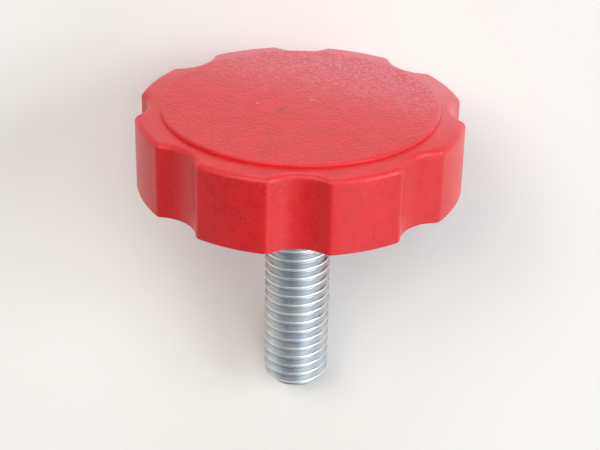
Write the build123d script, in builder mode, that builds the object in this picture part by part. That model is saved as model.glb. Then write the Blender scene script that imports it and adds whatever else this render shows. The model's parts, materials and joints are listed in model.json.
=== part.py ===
"""Star knob with a threaded steel stud, lying on its rim and the tip of its stud.

Millimetres, +Z up. The origin is the centre of the stud where it leaves the hub.
The knob's axis lies in the YZ plane, with the head towards +Y and raised.
"""

import os
from math import asin, atan2, cos, hypot, radians, sin

from build123d import *

# Head: one moulding with eight lobes, drafted towards its top face
lobe_count = 8
rim_height = 14.0  # from the skirt's open edge to the rim's top face
rim_radius_open = 29.85  # at the skirt's open edge
rim_radius_top = 29.7  # at the rim's top face, before its edge is rounded
scallop_half_angle = 9.7  # degrees, from a scallop's middle to the lobe beside it
scallop_depth_open = 2.45
scallop_depth_top = 2.35
lobe_corner_radius = 1.4  # upright edges between lobes and scallops
top_edge_radius = 1.1
open_edge_radius = 0.3

# Raised round face on top of the rim
face_radius = 25.2
face_rise = 0.8
face_edge_radius = 0.4

# Cored underside, with a hub for the stud and ribs to the skirt
wall_open = 2.6  # skirt wall at its open edge
wall_top = 3.2  # and where it meets the ceiling
ceiling_thickness = 3.2
core_corner_radius = 0.8
hub_recess = 0.6  # the hub's face sits this far inside the skirt's open edge
hub_radius_open = 10.0
hub_radius_top = 10.4
rib_count = 8
rib_thickness = 1.8
rib_recess = 2.0  # the ribs' edges sit this far inside the skirt's open edge
rib_reach = 25.3  # into the skirt wall behind the scallops

# Stud: 1/2-13 UNC, at its major diameter
stud_radius = 6.25
stud_length = 44.45  # from the hub's face to the tip
tip_chamfer_length = 1.5
tip_chamfer_depth = 1.1

# The stud's other end, knurled and grooved, moulded into the hub
anchor_radius = 6.6
anchor_length = 9.4  # from the hub's face
groove_count = 2
groove_depth = 1.0
groove_width = 1.6
groove_pitch = 3.6

# Heights along the knob's axis, from the hub's face
skirt_edge = -hub_recess
rim_top = rim_height - hub_recess
ceiling = rim_top - ceiling_thickness
rib_edge = skirt_edge + rib_recess


def scallop_circle(rim_radius, depth):
    """Distance from the knob's axis and radius of the arc that cuts a scallop."""
    half_angle = radians(scallop_half_angle)
    half_chord = rim_radius * sin(half_angle)
    rise = depth - rim_radius * (1 - cos(half_angle))
    radius = (half_chord**2 + rise**2) / (2 * rise)
    return rim_radius - depth + radius, radius


# The knob lies on the two lobe corners beside its lowest scallop and on the edge
# where the tip's chamfer starts, and these three points set its tilt.
scallop_distance, scallop_radius = scallop_circle(rim_radius_open, scallop_depth_open)
corner_centre = (
    (rim_radius_open - lobe_corner_radius) ** 2
    + scallop_distance**2
    - (scallop_radius + lobe_corner_radius) ** 2
) / (2 * scallop_distance)
across = corner_centre + lobe_corner_radius - open_edge_radius - stud_radius
along = skirt_edge + open_edge_radius + stud_length - tip_chamfer_length
tilt = atan2(across, along) + asin(open_edge_radius / hypot(across, along))

knob_axis = Axis((0, 0, 0), (0, cos(tilt), sin(tilt)))  # from the tip towards the head
cross_plane = Plane((0, 0, 0), x_dir=(1, 0, 0), z_dir=knob_axis.direction)
axial_plane = Plane((0, 0, 0), x_dir=(1, 0, 0), z_dir=(0, -sin(tilt), cos(tilt)))


def lobed_section(height, rim_radius, depth, inset, corner_radius):
    """The head's outline at a height along its axis, moved inwards by inset."""
    distance, radius = scallop_circle(rim_radius, depth)
    with BuildSketch(cross_plane.offset(height)) as section:
        Circle(rim_radius - inset)
        with PolarLocations(distance, lobe_count):
            Circle(radius + inset, mode=Mode.SUBTRACT)
        fillet(section.vertices(), corner_radius)
    return section.sketch


def anchor_section():
    """Half section of the stud's moulded-in end, shared by the stud and the hub."""
    with BuildSketch(axial_plane) as section:
        Rectangle(anchor_radius, anchor_length, align=(Align.MIN, Align.MIN))
        chamfer(section.vertices().group_by(Axis.X)[-1], anchor_radius - stud_radius)
        with Locations((anchor_radius, anchor_length / 2)):
            with GridLocations(0, groove_pitch, 1, groove_count):
                Rectangle(2 * groove_depth, groove_width, mode=Mode.SUBTRACT)
    return section.sketch


with BuildPart() as knob_head:
    loft(
        [
            lobed_section(skirt_edge, rim_radius_open, scallop_depth_open, 0, lobe_corner_radius),
            lobed_section(rim_top, rim_radius_top, scallop_depth_top, 0, lobe_corner_radius),
        ],
        ruled=True,
    )
    fillet(knob_head.faces().sort_by(knob_axis)[-1].edges(), top_edge_radius)
    fillet(knob_head.faces().sort_by(knob_axis)[0].edges(), open_edge_radius)

    with BuildSketch(cross_plane.offset(rim_top)):
        Circle(face_radius)
    extrude(amount=face_rise)
    fillet(knob_head.faces().sort_by(knob_axis)[-1].edges(), face_edge_radius)

    loft(
        [
            lobed_section(skirt_edge, rim_radius_open, scallop_depth_open, wall_open, core_corner_radius),
            lobed_section(ceiling, rim_radius_top, scallop_depth_top, wall_top, core_corner_radius),
        ],
        ruled=True,
        mode=Mode.SUBTRACT,
    )

    with BuildSketch(cross_plane):
        Circle(hub_radius_open)
    with BuildSketch(cross_plane.offset(ceiling)):
        Circle(hub_radius_top)
    loft()

    with BuildSketch(cross_plane.offset(rib_edge)):
        with PolarLocations(0, rib_count):
            Rectangle(rib_reach, rib_thickness, align=(Align.MIN, Align.CENTER))
    extrude(amount=ceiling - rib_edge)

    revolve(anchor_section(), axis=knob_axis, mode=Mode.SUBTRACT)

with BuildPart() as threaded_stud:
    with BuildSketch(axial_plane):
        with BuildLine():
            Polyline(
                (0, 0),
                (stud_radius, 0),
                (stud_radius, tip_chamfer_length - stud_length),
                (stud_radius - tip_chamfer_depth, -stud_length),
                (0, -stud_length),
                close=True,
            )
        make_face()
    revolve(axis=knob_axis)
    revolve(anchor_section(), axis=knob_axis)

os.makedirs("parts", exist_ok=True)
knob_head.part.label = "knob_head"
threaded_stud.part.label = "threaded_stud"
export_step(knob_head.part, "parts/knob_head.step")
export_step(threaded_stud.part, "parts/threaded_stud.step")
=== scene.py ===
"""Star knob: a red moulded head with a grained face, and a zinc-plated threaded stud."""

import json
from math import atan2, pi, radians

import bpy
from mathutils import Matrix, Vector


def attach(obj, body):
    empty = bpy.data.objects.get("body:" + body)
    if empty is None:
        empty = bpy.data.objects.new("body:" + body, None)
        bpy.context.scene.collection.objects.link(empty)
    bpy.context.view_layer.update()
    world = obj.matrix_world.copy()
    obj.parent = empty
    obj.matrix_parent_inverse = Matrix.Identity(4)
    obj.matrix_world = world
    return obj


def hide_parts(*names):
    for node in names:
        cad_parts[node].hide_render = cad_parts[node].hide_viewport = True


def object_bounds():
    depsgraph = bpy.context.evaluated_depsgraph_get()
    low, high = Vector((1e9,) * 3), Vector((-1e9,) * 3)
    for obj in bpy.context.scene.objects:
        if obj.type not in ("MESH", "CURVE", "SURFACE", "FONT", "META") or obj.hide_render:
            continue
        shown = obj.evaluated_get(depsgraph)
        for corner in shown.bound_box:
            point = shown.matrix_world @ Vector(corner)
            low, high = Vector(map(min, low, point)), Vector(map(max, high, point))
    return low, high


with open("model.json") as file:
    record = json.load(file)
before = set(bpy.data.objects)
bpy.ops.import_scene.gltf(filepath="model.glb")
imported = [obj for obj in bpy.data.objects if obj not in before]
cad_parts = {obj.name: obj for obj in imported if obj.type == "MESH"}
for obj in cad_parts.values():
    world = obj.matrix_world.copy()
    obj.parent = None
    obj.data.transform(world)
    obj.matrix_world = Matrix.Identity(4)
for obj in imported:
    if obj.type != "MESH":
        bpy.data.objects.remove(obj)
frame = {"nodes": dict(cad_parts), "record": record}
cad_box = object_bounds()

MM = 0.001

# The knob's axis, from the tip of its stud towards its head, lies in the YZ plane
stud_mount = next(m for m in frame["record"]["mounts"] if m["name"] == "stud")
axis = -Vector(stud_mount["axis"])
tilt = atan2(axis.z, axis.y)
lean = tilt - pi / 2  # turn about X that brings +Z onto the knob's axis

# Head, measured along the axis from the hub's face
face_radius = 25.2 * MM
rim_top = 13.4 * MM
face_rise = 0.8 * MM
crown_radius = 290 * MM  # of the raised face, in its shading alone
grain_height = 0.25 * MM
pebble_width = 0.75 * MM
pebble_waver = 0.4 * MM  # how far the grain's pebbles are pushed out of line
etching_share = 0.12  # height of the etched texture, as a share of the grain's

# Stud: 1/2-13 UNC, cut back at its tip by a chamfer
crest_radius = stud_mount["dims"]["r_mm"] * MM
pitch = 25.4 * MM / 13
stud_length = 44.45 * MM
tip_chamfer_length = 1.8 * MM
tip_chamfer_depth = 1.5 * MM
thread_depth = 1.1 * MM
crest_width = 0.24 * MM
root_width = 0.3 * MM
rolled_radius = 0.1 * MM  # rounding that rolling leaves beside the crest and the root
thread_steps = 96
sunk_length = 0.8 * MM  # of thread hidden inside the hub
thread_start = radians(150)  # where the turns begin round the axis

floor_height = cad_box[0].z


def linear(code):
    """Linear RGBA of an sRGB hex colour."""
    shares = [int(code[i : i + 2], 16) / 255 for i in (1, 3, 5)]
    return [v / 12.92 if v <= 0.04045 else ((v + 0.055) / 1.055) ** 2.4 for v in shares] + [1.0]


def add_node(tree, kind, inputs=None, **settings):
    """Add a shader node with its settings, and set or link its inputs."""
    node = tree.nodes.new(kind)
    for name, value in settings.items():
        setattr(node, name, value)
    for name, value in (inputs or {}).items():
        if isinstance(value, bpy.types.NodeSocket):
            tree.links.new(value, node.inputs[name])
        else:
            node.inputs[name].default_value = value
    return node


def new_material(name):
    """An empty material and its node tree."""
    material = bpy.data.materials.new(name)
    material.use_nodes = True
    material.node_tree.nodes.clear()
    return material, material.node_tree


def knob_coordinates(tree):
    """Object coordinates turned so that Z runs along the knob's axis."""
    place = add_node(tree, "ShaderNodeTexCoord")
    return add_node(
        tree,
        "ShaderNodeMapping",
        {"Vector": place.outputs["Object"], "Rotation": (-lean, 0, 0)},
    ).outputs["Vector"]


def distance_from_axis(tree, where):
    """How far a point in the knob's coordinates lies from its axis."""
    flat = add_node(
        tree, "ShaderNodeVectorMath", {0: where, 1: (1, 1, 0)}, operation="MULTIPLY"
    ).outputs["Vector"]
    return add_node(tree, "ShaderNodeVectorMath", {0: flat}, operation="LENGTH").outputs["Value"]


def calculate(tree, operation, *values):
    """The result of a Math node on numbers and sockets."""
    return add_node(
        tree, "ShaderNodeMath", dict(enumerate(values)), operation=operation
    ).outputs["Value"]


def ramp(tree, value, start, end, low=0.0, high=1.0):
    """A smooth change from low to high while value goes from start to end."""
    return add_node(
        tree,
        "ShaderNodeMapRange",
        {"Value": value, "From Min": start, "From Max": end, "To Min": low, "To Max": high},
        interpolation_type="SMOOTHSTEP",
    ).outputs["Result"]


def blend(tree, share, first, second, **settings):
    """Two colours mixed by a share from 0 to 1."""
    mix = add_node(tree, "ShaderNodeMix", data_type="RGBA", **settings)
    for index, value in ((0, share), (6, first), (7, second)):
        if isinstance(value, bpy.types.NodeSocket):
            tree.links.new(value, mix.inputs[index])
        else:
            mix.inputs[index].default_value = value
    return mix.outputs[2]


def noise(tree, where, size, detail=2.0, roughness=0.5, stretch=(1, 1, 1)):
    """Noise whose features are about as large as size, in metres."""
    vector = add_node(
        tree, "ShaderNodeVectorMath", {0: where, 1: stretch}, operation="MULTIPLY"
    ).outputs["Vector"]
    return add_node(
        tree,
        "ShaderNodeTexNoise",
        {"Vector": vector, "Scale": 1 / size, "Detail": detail, "Roughness": roughness},
    ).outputs["Fac"]


def spot(tree, where, centre, size, turn=0.0):
    """A soft-edged oval mark, 1 in its middle, at a place in the knob's coordinates."""
    local = add_node(
        tree,
        "ShaderNodeMapping",
        {"Vector": where, "Location": [v * MM for v in centre], "Rotation": (0, 0, turn),
         "Scale": [v * MM for v in size]},
        vector_type="TEXTURE",
    ).outputs["Vector"]
    reach = add_node(tree, "ShaderNodeVectorMath", {0: local}, operation="LENGTH").outputs["Value"]
    return ramp(tree, reach, 1.0, 0.4)


def moulded_red():
    """Red nylon moulded in an etched tool, with a leather grain on the raised face."""
    material, tree = new_material("moulded_red_nylon")
    where = knob_coordinates(tree)
    axes = add_node(tree, "ShaderNodeSeparateXYZ", {"Vector": where}).outputs
    from_axis = distance_from_axis(tree, where)
    inside = ramp(tree, from_axis, face_radius - 0.25 * MM, face_radius - 0.7 * MM)
    raised = ramp(tree, axes["Z"], rim_top + 0.5 * face_rise, rim_top + 0.9 * face_rise)
    on_face = calculate(tree, "MULTIPLY", inside, raised)

    # Leather grain: soft pebbles, a little out of line and broken up by fine wrinkles
    warp = add_node(
        tree, "ShaderNodeTexNoise", {"Vector": where, "Scale": 1 / (1.6 * MM), "Detail": 2.0}
    ).outputs["Color"]
    shifted = add_node(
        tree,
        "ShaderNodeVectorMath",
        {0: warp, 1: (pebble_waver, pebble_waver, pebble_waver), 2: where},
        operation="MULTIPLY_ADD",
    ).outputs["Vector"]
    pebbles = add_node(
        tree,
        "ShaderNodeTexVoronoi",
        {"Vector": shifted, "Scale": 1 / pebble_width, "Smoothness": 0.5},
        feature="SMOOTH_F1",
    ).outputs["Distance"]
    wrinkles = noise(tree, where, 0.45 * MM, 2.0, 0.5)
    leather = calculate(tree, "ADD", calculate(tree, "MULTIPLY", pebbles, -0.7), wrinkles)
    # Fine etched texture on everything else
    etched = calculate(tree, "MULTIPLY", noise(tree, where, 0.22 * MM, 2.0, 0.6), etching_share)
    texture = calculate(
        tree, "MULTIPLY_ADD", on_face, calculate(tree, "SUBTRACT", leather, etched), etched
    )
    # The top is slightly crowned, and falls away by a few degrees towards its edge
    squared = calculate(tree, "MULTIPLY", from_axis, from_axis)
    fall = calculate(tree, "MULTIPLY", squared, -0.5 / crown_radius)
    height = calculate(tree, "MULTIPLY_ADD", texture, grain_height, fall)

    # Pigment is a little uneven, and the surface carries fine pale dust
    clouds = noise(tree, where, 3.5 * MM, 3.0, 0.6)
    mottle = noise(tree, where, 0.7 * MM, 3.0, 0.65)
    colour = blend(tree, ramp(tree, clouds, 0.3, 0.7), linear("#D21920"), linear("#DE1F27"))
    colour = blend(tree, ramp(tree, mottle, 0.35, 0.75, 0.0, 0.4), colour, linear("#DE3A40"))
    dust = noise(tree, where, 0.3 * MM, 1.0, 0.4)
    colour = blend(tree, ramp(tree, dust, 0.74, 0.82, 0.0, 0.5), colour, linear("#F0A0A4"))
    scuff = calculate(
        tree,
        "MULTIPLY",
        spot(tree, where, (-3.3, -3.2, 14.2), (2.2, 0.8, 1.0), radians(50)),
        0.55,
    )
    colour = blend(tree, scuff, colour, linear("#8E1218"))
    # Three pale specks, where something hard has touched the raised face
    for centre in ((-7.7, -0.8, 14.2), (2.6, 0.9, 14.2), (2.0, 1.2, 14.2)):
        speck = calculate(tree, "MULTIPLY", spot(tree, where, centre, (0.32, 0.5, 1.0)), 0.5)
        colour = blend(tree, speck, colour, linear("#F4B4B8"))
    # Painted sheen and glints: a pale veil that stands in for reflected light on the top and the rim,
    # stronger towards one side and on the grain's peaks
    side = add_node(
        tree, "ShaderNodeVectorMath", {0: where, 1: (0.4, 0.92, 0)}, operation="DOT_PRODUCT"
    ).outputs["Value"]
    on_top = ramp(tree, axes["Z"], rim_top - 8 * MM, rim_top - 0.5 * MM)
    uneven = calculate(tree, "MULTIPLY_ADD", clouds, 6 * MM, side)
    painted_sheen = calculate(tree, "MULTIPLY", ramp(tree, uneven, -4 * MM, 26 * MM, 0.0, 0.36), on_top)
    # Painted glints: the painted sheen is made stronger on the grain's peaks of the raised face
    peak_glints = ramp(tree, leather, 0.05, 0.45, -0.6, 0.7)
    painted_sheen = calculate(
        tree, "MULTIPLY", painted_sheen, calculate(tree, "MULTIPLY_ADD", on_face, peak_glints, 1.0)
    )
    colour = blend(tree, painted_sheen, colour, linear("#E8A2B2"))

    shader = add_node(
        tree,
        "ShaderNodeBsdfPrincipled",
        {
            "Base Color": colour,
            "Roughness": ramp(tree, on_face, 0.0, 1.0, 0.38, 0.44),
            "Specular IOR Level": 0.44,
            "Subsurface Weight": 0.2,
            "Subsurface Radius": (1.0, 0.12, 0.08),
            "Subsurface Scale": 1.2 * MM,
            "Sheen Weight": 0.05,
            "Sheen Roughness": 0.5,
        },
    )
    bump = add_node(tree, "ShaderNodeBump", {"Height": height, "Strength": 1.0, "Distance": 1.0})
    tree.links.new(bump.outputs["Normal"], shader.inputs["Normal"])
    add_node(tree, "ShaderNodeOutputMaterial", {"Surface": shader.outputs["BSDF"]})
    return material


def zinc_plated_steel():
    """Bright zinc plating on a rolled steel thread, with fine marks round it and a greyer root."""
    material, tree = new_material("bright_zinc_plated_steel")
    where = knob_coordinates(tree)
    from_axis = distance_from_axis(tree, where)
    patches = noise(tree, where, 2.5 * MM, 3.0, 0.6)
    rings = noise(tree, where, 2.0 * MM, 3.0, 0.6, stretch=(1, 1, 22))
    crystals = noise(tree, where, 0.18 * MM, 2.0, 0.6)
    colour = blend(tree, ramp(tree, patches, 0.35, 0.65), linear("#D2DBDF"), linear("#DDDFDC"))
    colour = blend(tree, ramp(tree, crystals, 0.55, 0.75, 0.0, 0.3), colour, linear("#B4BCC4"))
    # Darker and browner towards the root of the thread
    darker_root = ramp(
        tree, from_axis, crest_radius - 0.75 * thread_depth, crest_radius - thread_depth, 0.0, 0.6
    )
    colour = blend(tree, darker_root, colour, linear("#6E655C"))
    shader = add_node(
        tree,
        "ShaderNodeBsdfPrincipled",
        {
            "Base Color": colour,
            "Metallic": 1.0,
            "Roughness": ramp(tree, patches, 0.2, 0.8, 0.26, 0.36),
        },
    )
    marks = calculate(tree, "MULTIPLY_ADD", crystals, 0.4, rings)
    bump = add_node(tree, "ShaderNodeBump", {"Height": marks, "Strength": 0.6, "Distance": 0.018 * MM})
    tree.links.new(bump.outputs["Normal"], shader.inputs["Normal"])
    add_node(tree, "ShaderNodeOutputMaterial", {"Surface": shader.outputs["BSDF"]})
    return material


def deselect_all():
    bpy.ops.object.select_all(action="DESELECT")


def apply_modifiers(piece):
    bpy.context.view_layer.objects.active = piece
    for modifier in list(piece.modifiers):
        bpy.ops.object.modifier_apply(modifier=modifier.name)


def tip_blank():
    """What the tip's chamfer leaves: a bar wider than the thread, with a coned end."""
    deselect_all()
    spare = 0.6 * MM
    slope = tip_chamfer_length / tip_chamfer_depth
    cone_start = -stud_length + tip_chamfer_length + spare * slope
    straight = sunk_length - cone_start
    bpy.ops.mesh.primitive_cylinder_add(
        vertices=thread_steps,
        radius=crest_radius + spare,
        depth=2 * straight,
        location=(0, 0, sunk_length),
    )
    blank = bpy.context.object
    bpy.ops.object.transform_apply(location=True)
    bpy.ops.object.mode_set(mode="EDIT")
    bpy.ops.mesh.select_all(action="DESELECT")
    bpy.ops.object.mode_set(mode="OBJECT")
    for face in blank.data.polygons:
        face.select = face.normal.z < -0.9
    bpy.ops.object.mode_set(mode="EDIT")
    bpy.ops.mesh.select_mode(type="FACE")
    bpy.ops.mesh.extrude_region_move(
        TRANSFORM_OT_translate={"value": (0, 0, -stud_length - cone_start)}
    )
    narrowing = (crest_radius - tip_chamfer_depth) / (crest_radius + spare)
    bpy.ops.transform.resize(value=(narrowing, narrowing, 1), center_override=(0, 0, -stud_length))
    bpy.ops.mesh.select_mode(type="VERT")
    bpy.ops.object.mode_set(mode="OBJECT")
    return blank


def rolled_thread():
    """A right-hand screw surface, cut square at both ends and closed."""
    deselect_all()
    bpy.ops.mesh.primitive_plane_add(size=pitch)
    thread = bpy.context.object
    bpy.ops.object.mode_set(mode="EDIT")
    bpy.ops.mesh.select_all(action="SELECT")
    bpy.ops.mesh.merge(type="CENTER")
    spare_turns = 2
    turns = int((stud_length + sunk_length) / pitch) + 2 * spare_turns
    start = -stud_length - spare_turns * pitch
    bpy.ops.transform.translate(value=(crest_radius - thread_depth, 0, start))
    flank = (pitch - crest_width - root_width) / 2
    across = flank - 2 * rolled_radius
    rise = thread_depth - rolled_radius
    profile = (
        (0, root_width),
        (rolled_radius / 2, rolled_radius),
        (rise, across),
        (rolled_radius / 2, rolled_radius),
        (0, crest_width),
        (-rolled_radius / 2, rolled_radius),
        (-rise, across),
        (-rolled_radius / 2, rolled_radius),
    )
    for outward, along in profile:
        bpy.ops.mesh.extrude_region_move(TRANSFORM_OT_translate={"value": (outward, 0, along)})
    bpy.ops.object.mode_set(mode="OBJECT")
    screw = thread.modifiers.new("turns", "SCREW")
    screw.axis = "Z"
    screw.angle = 2 * pi
    screw.screw_offset = pitch
    screw.iterations = turns
    screw.steps = thread_steps
    screw.render_steps = thread_steps
    apply_modifiers(thread)
    thread.rotation_euler.z = thread_start
    bpy.ops.object.transform_apply(rotation=True)
    bpy.ops.object.mode_set(mode="EDIT")
    bpy.ops.mesh.select_all(action="SELECT")
    bpy.ops.mesh.remove_doubles(threshold=pitch / 1000)
    for height, upper in ((sunk_length, True), (-stud_length, False)):
        bpy.ops.mesh.select_all(action="SELECT")
        bpy.ops.mesh.bisect(
            plane_co=(0, 0, height),
            plane_no=(0, 0, 1),
            use_fill=True,
            clear_outer=upper,
            clear_inner=not upper,
        )
    bpy.ops.mesh.select_all(action="SELECT")
    bpy.ops.mesh.normals_make_consistent(inside=False)
    bpy.ops.object.mode_set(mode="OBJECT")
    return thread


def make_stud():
    """The stud: a rolled thread whose tip is cut back by the blank's chamfer."""
    blank = tip_blank()
    stud = rolled_thread()
    cut = stud.modifiers.new("chamfer", "BOOLEAN")
    cut.operation = "INTERSECT"
    cut.object = blank
    cut.solver = "EXACT"
    apply_modifiers(stud)
    bpy.data.objects.remove(blank)
    deselect_all()
    stud.select_set(True)
    bpy.context.view_layer.objects.active = stud
    stud.rotation_euler = (lean, 0, 0)
    bpy.ops.object.transform_apply(rotation=True)
    bpy.ops.object.shade_smooth_by_angle(angle=radians(35))
    stud.name = stud.data.name = "rolled_stud"
    stud.data.materials.clear()
    stud.data.materials.append(zinc_plated_steel())
    return stud


def dress_head():
    """The head keeps its CAD shape and takes its moulded finish."""
    head = frame["nodes"]["knob_head"]
    head.data.materials.clear()
    head.data.materials.append(moulded_red())


def lay_floor():
    """A plain pale board."""
    material, tree = new_material("pale_board")
    shader = add_node(
        tree,
        "ShaderNodeBsdfPrincipled",
        {"Base Color": linear("#ECECEA"), "Roughness": 0.6},
    )
    add_node(tree, "ShaderNodeOutputMaterial", {"Surface": shader.outputs["BSDF"]})
    deselect_all()
    bpy.ops.mesh.primitive_plane_add(size=4, location=(0, 0, floor_height))
    board = bpy.context.object
    board.name = "pale_board"
    board.data.materials.append(material)


def add_lamp(name, place, size, power, colour="#FFFFFF"):
    """A square soft box aimed at the knob."""
    data = bpy.data.lights.new(name, "AREA")
    data.size = size
    data.energy = power
    data.color = linear(colour)[:3]
    lamp = bpy.data.objects.new(name, data)
    lamp.location = place
    lamp.rotation_euler = (-Vector(place)).to_track_quat("-Z", "Y").to_euler()
    bpy.context.scene.collection.objects.link(lamp)


def light_room():
    """Soft boxes round the knob, strongest on the right, in a room that is darker at the front."""
    world = bpy.data.worlds.new("studio")
    bpy.context.scene.world = world
    world.use_nodes = True
    tree = world.node_tree
    tree.nodes.clear()
    direction = add_node(tree, "ShaderNodeTexCoord").outputs["Generated"]
    towards_front = add_node(
        tree, "ShaderNodeVectorMath", {0: direction, 1: (-0.5, -0.76, 0.42)}, operation="DOT_PRODUCT"
    ).outputs["Value"]
    ray = add_node(tree, "ShaderNodeLightPath").outputs
    mirrored = ramp(tree, towards_front, 0.55, 0.97, 1.15, 0.36)
    strength = ramp(tree, ray["Is Glossy Ray"], 0.0, 1.0, 0.08, mirrored)
    colour = blend(tree, ray["Is Glossy Ray"], linear("#FFFFFF"), linear("#E8F1FF"))
    sky = add_node(tree, "ShaderNodeBackground", {"Color": colour, "Strength": strength})
    add_node(tree, "ShaderNodeOutputWorld", {"Surface": sky.outputs["Background"]})
    add_lamp("right", (1.1, 0, 0.73), 0.73, 10.2, "#F8FCFF")
    add_lamp("back_low", (0, 1.2, 0.3), 0.6, 4.2, "#F2F6FF")
    add_lamp("right_front", (0.73, -0.73, 0.73), 0.73, 3.0)
    add_lamp("left_high", (-0.58, 0.29, 1.1), 0.73, 6.8, "#FFF3E6")
    add_lamp("top", (0.15, 0.15, 1.3), 0.73, 4.6)


def place_camera():
    """Above the knob, a quarter of a metre from its hub."""
    data = bpy.data.cameras.new("camera")
    data.sensor_width = 36
    data.lens = 82
    camera = bpy.data.objects.new("camera", data)
    camera.location = (0.30 * MM, -7.7 * MM, 252 * MM)
    camera.rotation_euler = (radians(-0.43), 0, radians(1.16))
    bpy.context.scene.collection.objects.link(camera)
    bpy.context.scene.camera = camera


stud = make_stud()
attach(stud, "root")
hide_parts("threaded_stud")
dress_head()
lay_floor()
light_room()
place_camera()
bpy.context.scene.view_settings.view_transform = "Standard"
